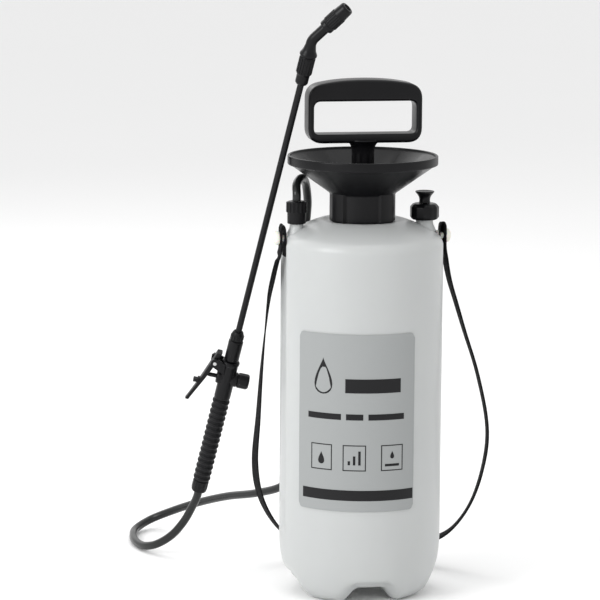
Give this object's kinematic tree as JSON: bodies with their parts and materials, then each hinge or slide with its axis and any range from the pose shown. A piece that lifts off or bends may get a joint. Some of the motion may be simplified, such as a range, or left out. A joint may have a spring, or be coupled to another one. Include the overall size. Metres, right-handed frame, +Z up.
{
  "type": "pump sprayer",
  "caption": "Hand-pumped compression sprayer: translucent tank, funnel collar with D-handle pump, hose, trigger lance with turned nozzle, and a carry strap.",
  "frame": {"origin": "middle of the footprint, counted without the hose and the strap, at ground level", "axes": "+Z up; the D handle, the two strap studs and the two spigots lie along X; -Y is the label side"},
  "size_m": [0.3412, 0.3823, 0.5976],
  "materials": {
    "tank_plastic": "satin translucent",
    "black_plastic": "fine moulded",
    "satin_black": "satin",
    "hose_pvc": "semi-gloss",
    "webbing": "woven",
    "stud_plastic": "satin",
    "seal_rubber": "matte",
    "steel": "satin",
    "inner_plastic": "satin",
    "label_film": "printed film"
  },
  "bodies": {
    "tank": {"tank": "tank_plastic", "hose": "hose_pvc", "funnel_collar": "black_plastic", "valve_body": "black_plastic", "elbow_pipe": "black_plastic", "grip_sleeve": "satin_black", "carry_strap": "webbing", "upper_nut": "black_plastic", "grip_end_cap": "black_plastic", "relief_spring": "steel", "valve_spring": "steel", "outlet_nut": "black_plastic", "dip_strainer": "inner_plastic", "lower_nut": "black_plastic", "outlet_fitting": "inner_plastic", "relief_cap": "black_plastic", "hose_barb": "inner_plastic", "lance_socket": "black_plastic", "strap_stud_left": "stud_plastic", "strap_stud_right": "stud_plastic", "label": "label_film", "valve_cap": "black_plastic", "grip_filter": "inner_plastic", "neck_gasket": "seal_rubber", "outlet_gasket": "seal_rubber", "dip_tube": "inner_plastic", "lance_seal": "seal_rubber", "lance_tube": "satin_black", "elbow_seal": "seal_rubber", "nozzle_core": "inner_plastic", "nozzle_seal": "seal_rubber", "trigger_pin": "steel"},
    "relief": {"relief_stem": "black_plastic", "relief_seal": "seal_rubber"},
    "pump": {"cylinder_gasket": "seal_rubber", "pump_cylinder": "inner_plastic", "check_valve": "seal_rubber", "rod_guide": "satin_black", "rod_wiper": "seal_rubber"},
    "nut": {"pump_nut": "satin_black"},
    "plunger": {"pump_rod": "inner_plastic", "piston": "satin_black", "piston_seal": "seal_rubber", "rod_clip": "steel", "pump_handle": "black_plastic", "handle_pin": "steel"},
    "trigger": {"trigger_lever": "black_plastic"},
    "lock": {"trigger_lock": "satin_black"},
    "stem": {"valve_stem": "black_plastic", "valve_seal": "seal_rubber"},
    "nozzle": {"nozzle_cap": "black_plastic"}
  },
  "joints": [
    {"name": "pump_lift", "type": "slide", "parent": "tank", "child": "pump", "axis": [0, 0, 1], "range_m": [0, 0.3]},
    {"name": "pump_nut_turn", "type": "hinge", "parent": "pump", "child": "nut", "pos_m": [0.03677, -0.03268, 0.406], "axis": [0, 0, 1], "continuous": true},
    {"name": "pump_stroke", "type": "slide", "parent": "pump", "child": "plunger", "axis": [0, 0, 1], "range_m": [0, 0.2]},
    {"name": "relief_pull", "type": "slide", "parent": "tank", "child": "relief", "axis": [0, 0, 1], "range_m": [0, 0.004], "stiffness_N_per_m": 400, "springref_m": -0.002, "deforming": ["relief_spring"]},
    {"name": "trigger_squeeze", "type": "hinge", "parent": "tank", "child": "trigger", "pos_m": [-0.09759, 0.05608, 0.22211], "axis": [-0.181, -0.9314, -0.3158], "range_deg": [0, 16], "stiffness_Nm_per_rad": 0.4, "springref_deg": -5.73},
    {"name": "valve_push", "type": "slide", "parent": "tank", "child": "stem", "axis": [0.9702, -0.1167, -0.2122], "range_m": [0, 0.0049]},
    {"name": "trigger_lock_swing", "type": "hinge", "parent": "trigger", "child": "lock", "pos_m": [-0.11347, 0.06645, 0.20063], "axis": [0.181, 0.9314, 0.3158], "range_deg": [0, 18]},
    {"name": "nozzle_turn", "type": "hinge", "parent": "tank", "child": "nozzle", "pos_m": [-0.00322, -0.08364, 0.58013], "axis": [0.6505, -0.3542, 0.6718], "range_deg": [0, 270]}
  ],
  "couplings": [
    {"joint": "valve_push", "follows": "trigger_squeeze", "m_per_rad": 0.017}
  ]
}
